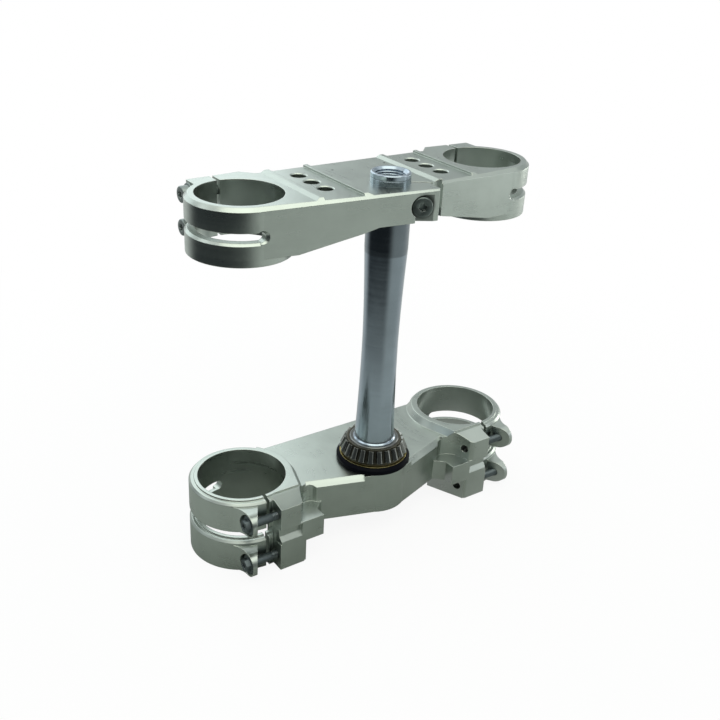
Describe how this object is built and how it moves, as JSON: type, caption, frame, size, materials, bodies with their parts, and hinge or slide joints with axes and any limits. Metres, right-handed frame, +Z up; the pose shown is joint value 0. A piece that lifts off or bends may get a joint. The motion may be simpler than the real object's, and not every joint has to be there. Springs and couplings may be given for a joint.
{
  "type": "motorcycle triple clamp",
  "caption": "Motorcycle triple clamp: split upper and lower fork clamps on a hollow steering stem, with pinch bolts, lower taper bearing and seal.",
  "frame": {"origin": "on the steering axis, in the plane of the lower bridge's underside, at the mouth of the hollow stem", "axes": "+Z up along the steering axis, +Y forwards towards the fork legs, X across the two fork legs"},
  "size_m": [0.262, 0.0895, 0.2586],
  "materials": {
    "clamp_aluminium": "champagne anodised, finely milled",
    "stem_aluminium": "turned and polished",
    "bearing_steel": "ground",
    "roller_steel": "polished",
    "cage_steel": "pressed sheet",
    "washer_zinc": "yellow zinc plated",
    "seal_rubber": "satin",
    "bolt_steel": "dark zinc plated"
  },
  "bodies": {
    "clamps": {"upper_clamp": "clamp_aluminium", "lower_clamp": "clamp_aluminium", "steering_stem": "stem_aluminium", "bearing_inner_ring": "bearing_steel", "bearing_washer": "washer_zinc", "bearing_seal": "seal_rubber", "upper_bolt_left_top": "bolt_steel", "upper_bolt_left_bottom": "bolt_steel", "upper_bolt_right_top": "bolt_steel", "upper_bolt_right_bottom": "bolt_steel", "lower_bolt_left_top": "bolt_steel", "lower_bolt_left_bottom": "bolt_steel", "lower_bolt_right_top": "bolt_steel", "lower_bolt_right_bottom": "bolt_steel", "stem_pinch_bolt": "bolt_steel"},
    "roller_cage": {"bearing_cage": "cage_steel", "bearing_rollers": "roller_steel"}
  },
  "joints": [
    {"name": "bearing_spin", "type": "hinge", "parent": "clamps", "child": "roller_cage", "pos_m": [0, 0, 0.042], "axis": [0, 0, 1], "continuous": true}
  ]
}
